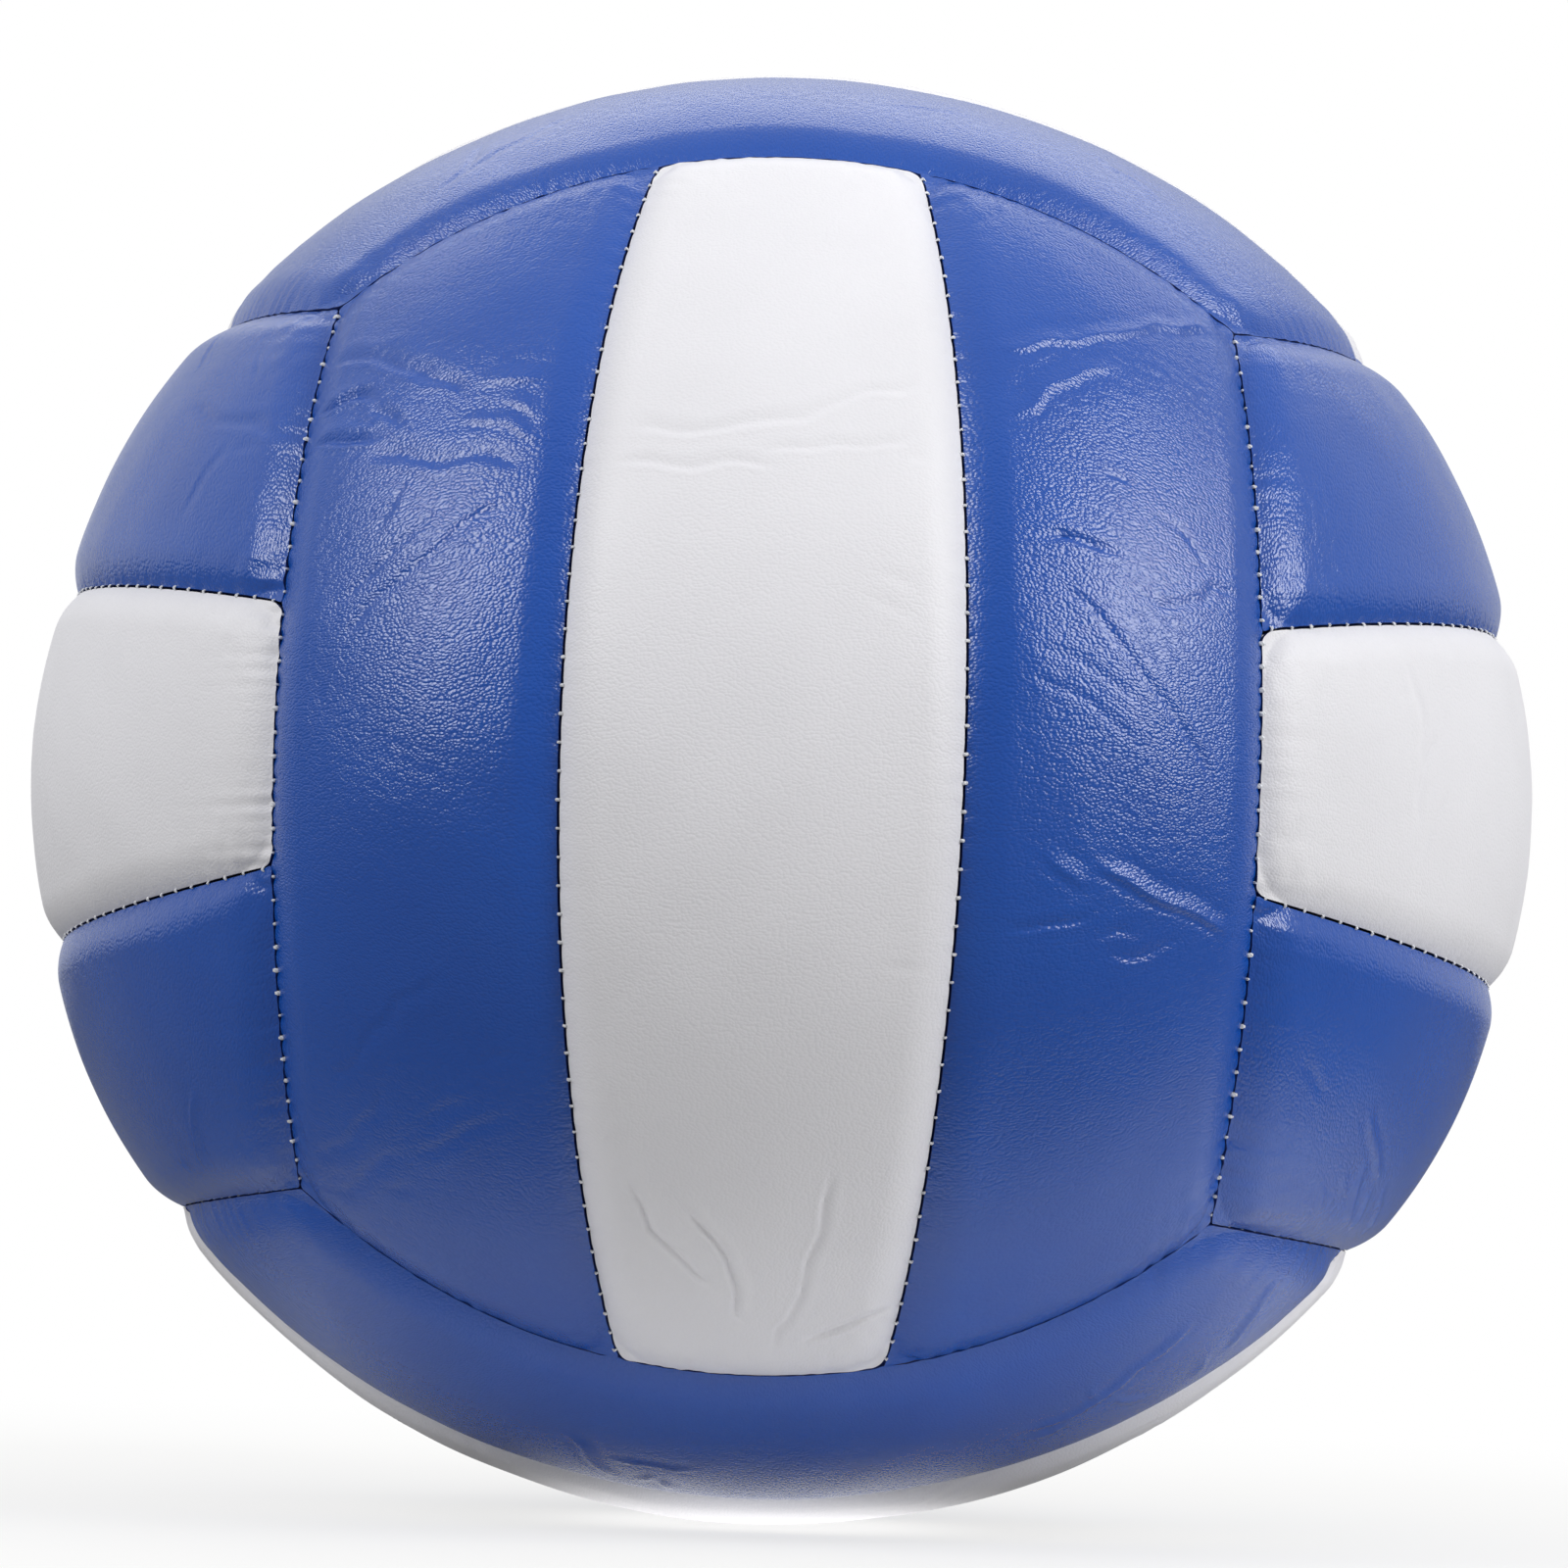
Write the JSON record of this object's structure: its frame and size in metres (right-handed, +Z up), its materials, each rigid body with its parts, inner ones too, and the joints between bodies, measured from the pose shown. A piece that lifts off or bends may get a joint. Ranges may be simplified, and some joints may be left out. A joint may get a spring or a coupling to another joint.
{
  "type": "volleyball",
  "caption": "Indoor volleyball of padded synthetic leather strips in blue and white, three to a face, machine stitched round a rubber bladder with a valve.",
  "frame": {"origin": "centre of the ball", "axes": "+Z up, square to the top strips, along which the ball is a little shorter; +Y out of the valve, at the back; the front face looks along -Y"},
  "size_m": [0.2094, 0.2094, 0.2026],
  "materials": {
    "blue_cover": "blue synthetic leather with a fine pebble grain, satin",
    "white_cover": "white synthetic leather with a fine pebble grain, satin",
    "foam": "dark grey closed cell foam",
    "lining": "woven cloth",
    "thread": "light grey bonded thread",
    "bladder": "smooth black rubber",
    "valve": "smooth black rubber",
    "plug": "soft dark grey rubber"
  },
  "bodies": {
    "root": {"front_left_cover": "blue_cover", "front_middle_cover": "white_cover", "front_right_cover": "blue_cover", "back_left_cover": "blue_cover", "back_middle_cover": "white_cover", "back_right_cover": "blue_cover", "right_upper_cover": "blue_cover", "right_middle_cover": "white_cover", "right_lower_cover": "blue_cover", "left_upper_cover": "blue_cover", "left_middle_cover": "white_cover", "left_lower_cover": "blue_cover", "top_front_cover": "blue_cover", "top_middle_cover": "white_cover", "top_back_cover": "blue_cover", "bottom_front_cover": "blue_cover", "bottom_middle_cover": "white_cover", "bottom_back_cover": "blue_cover", "front_left_foam": "foam", "front_middle_foam": "foam", "front_right_foam": "foam", "back_left_foam": "foam", "back_middle_foam": "foam", "back_right_foam": "foam", "right_upper_foam": "foam", "right_middle_foam": "foam", "right_lower_foam": "foam", "left_upper_foam": "foam", "left_middle_foam": "foam", "left_lower_foam": "foam", "top_front_foam": "foam", "top_middle_foam": "foam", "top_back_foam": "foam", "bottom_front_foam": "foam", "bottom_middle_foam": "foam", "bottom_back_foam": "foam", "front_linings": "lining", "back_linings": "lining", "right_linings": "lining", "left_linings": "lining", "top_linings": "lining", "bottom_linings": "lining", "front_stitches": "thread", "back_stitches": "thread", "right_stitches": "thread", "left_stitches": "thread", "top_stitches": "thread", "bottom_stitches": "thread", "front_edge_stitches": "thread", "back_edge_stitches": "thread", "side_edge_stitches": "thread", "bladder": "bladder", "valve_body": "valve", "valve_plug": "plug"}
  },
  "joints": []
}
